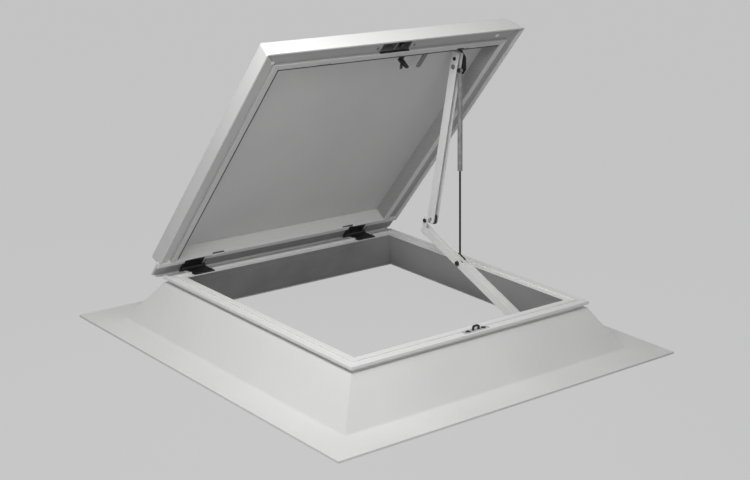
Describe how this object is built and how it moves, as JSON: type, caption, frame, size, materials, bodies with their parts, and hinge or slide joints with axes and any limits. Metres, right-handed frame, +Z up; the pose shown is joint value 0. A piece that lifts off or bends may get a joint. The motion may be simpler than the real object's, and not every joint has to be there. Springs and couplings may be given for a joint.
{
  "type": "roof access hatch",
  "caption": "Square roof access hatch on a flanged upstand, with a hinged insulated lid held open by a folding stay and a gas spring, and a lever lock.",
  "frame": {"origin": "middle of the roof opening, on the underside of the roof flange", "axes": "+Z up; hinges on the +Y side, lock on the -Y side; lid stored open at 53 degrees"},
  "size_m": [1.28, 1.28, 0.9337],
  "materials": {
    "grp_white": "moulded gel coat",
    "foam": "cut rigid foam",
    "liner_grey": "smooth dark liner",
    "pvc_white": "extruded",
    "panel_grey": "flat sheet",
    "seal_rubber": "extruded bulb",
    "black_metal": "black coated",
    "lock_grey": "moulded",
    "lever_grey": "grey coated",
    "arm_white": "white coated",
    "tube_grey": "satin",
    "rod_dark": "smooth dark"
  },
  "bodies": {
    "curb": {"upstand_shell": "grp_white", "upstand_core": "foam", "upstand_liner": "liner_grey", "curb_rail_front": "pvc_white", "curb_rail_back": "pvc_white", "curb_rail_left": "pvc_white", "curb_rail_right": "pvc_white", "curb_seal": "seal_rubber", "curb_seal_back": "seal_rubber", "hinge_base_left": "black_metal", "hinge_base_right": "black_metal", "hinge_pin_left": "black_metal", "hinge_pin_right": "black_metal", "strike_plate": "black_metal", "strike_staple": "black_metal", "stay_foot": "black_metal", "stay_foot_bolt": "black_metal"},
    "lid": {"lid_shell": "grp_white", "lid_core": "foam", "lid_panel": "panel_grey", "lid_rail_front": "pvc_white", "lid_rail_back": "pvc_white", "lid_rail_left": "pvc_white", "lid_rail_right": "pvc_white", "hinge_leaf_left": "black_metal", "hinge_leaf_right": "black_metal", "lock_case": "lock_grey", "latch_fork": "black_metal", "stay_hanger": "black_metal", "stay_hanger_bolt": "black_metal", "stay_spring_bolt": "black_metal"},
    "lower_arm": {"stay_lower_arm": "arm_white", "stay_elbow_plate": "arm_white", "stay_elbow_pin": "black_metal", "stay_elbow_knob": "black_metal", "stay_spring_stud": "black_metal", "stay_spring_bracket": "black_metal"},
    "upper_arm": {"stay_upper_arm": "arm_white", "stay_elbow_bolt": "black_metal", "stay_arm_foot": "black_metal", "stay_arm_bolt": "black_metal"},
    "gas_tube": {"gas_tube": "tube_grey", "gas_guide": "black_metal", "gas_tube_eye": "black_metal"},
    "gas_rod": {"gas_rod": "rod_dark", "gas_piston": "black_metal", "gas_rod_eye": "black_metal"},
    "lever": {"lock_lever": "lever_grey"},
    "lock_bolt": {"lock_bolt": "black_metal"}
  },
  "joints": [
    {"name": "lid_hinge", "type": "hinge", "parent": "curb", "child": "lid", "pos_m": [0, 0.47, 0.152], "axis": [1, 0, 0], "range_deg": [0, 53], "stiffness_Nm_per_rad": 60, "springref_deg": -126.05},
    {"name": "lower_arm_pivot", "type": "hinge", "parent": "curb", "child": "lower_arm", "pos_m": [0.281, -0.414, 0.052], "axis": [1, 0, 0], "range_deg": [-40.4, 0]},
    {"name": "upper_arm_pivot", "type": "hinge", "parent": "lid", "child": "upper_arm", "pos_m": [0.281, -0.01295, 0.79854], "axis": [1, 0, 0], "range_deg": [0, 3.6]},
    {"name": "gas_tube_pivot", "type": "hinge", "parent": "lid", "child": "gas_tube", "pos_m": [0.281, -0.03279, 0.79048], "axis": [1, 0, 0], "range_deg": [0, 10.2]},
    {"name": "gas_rod_slide", "type": "slide", "parent": "gas_tube", "child": "gas_rod", "axis": [0, -0.0718, -0.9974], "range_m": [-0.234, 0]},
    {"name": "lever_swing", "type": "hinge", "parent": "lid", "child": "lever", "pos_m": [0.132, -0.06807, 0.88598], "axis": [0, 0.7986, 0.6018], "range_deg": [0, 40]},
    {"name": "lock_bolt_slide", "type": "slide", "parent": "lid", "child": "lock_bolt", "axis": [0, 0.6018, -0.7986], "range_m": [0, 0.0142]}
  ],
  "couplings": [
    {"joint": "lower_arm_pivot", "follows": "lid_hinge", "ratio": -0.75993},
    {"joint": "upper_arm_pivot", "follows": "lid_hinge", "ratio": 0.0655},
    {"joint": "gas_tube_pivot", "follows": "lid_hinge", "ratio": 0.1896},
    {"joint": "gas_rod_slide", "follows": "lid_hinge", "m_per_rad": -0.25136},
    {"joint": "lock_bolt_slide", "follows": "lever_swing", "m_per_rad": 0.020054}
  ]
}
